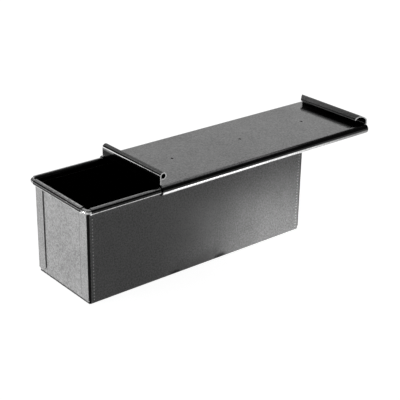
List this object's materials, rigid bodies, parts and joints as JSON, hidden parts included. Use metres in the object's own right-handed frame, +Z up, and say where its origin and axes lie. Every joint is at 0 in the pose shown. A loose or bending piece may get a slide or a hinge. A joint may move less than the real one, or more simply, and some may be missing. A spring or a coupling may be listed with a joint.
{
  "type": "pullman loaf pan",
  "caption": "Long rectangular bread pan of folded sheet steel with a wired rim, and a flat cover that slides along the rim on curled edges, its short ends rolled up as grips.",
  "frame": {"origin": "middle of the pan's flat underside", "axes": "+X along the pan, the way the cover is drawn open; +Y across it; +Z up"},
  "size_m": [0.3686, 0.1054, 0.1141],
  "materials": {
    "dark_steel": "satin dark coating on folded sheet steel, soft reflections, bare bright cut edges",
    "cover_steel": "satin dark coating, slightly mottled, bare bright cut edges",
    "wire": "drawn steel wire, dulled by baking"
  },
  "bodies": {
    "pan": {"trough": "dark_steel", "left_end_panel": "dark_steel", "right_end_panel": "dark_steel", "rim_wire": "wire"},
    "cover": {"sliding_cover": "cover_steel"}
  },
  "joints": [
    {"name": "cover_slide", "type": "slide", "parent": "pan", "child": "cover", "axis": [1, 0, 0], "range_m": [-0.0865, 0.2]}
  ]
}
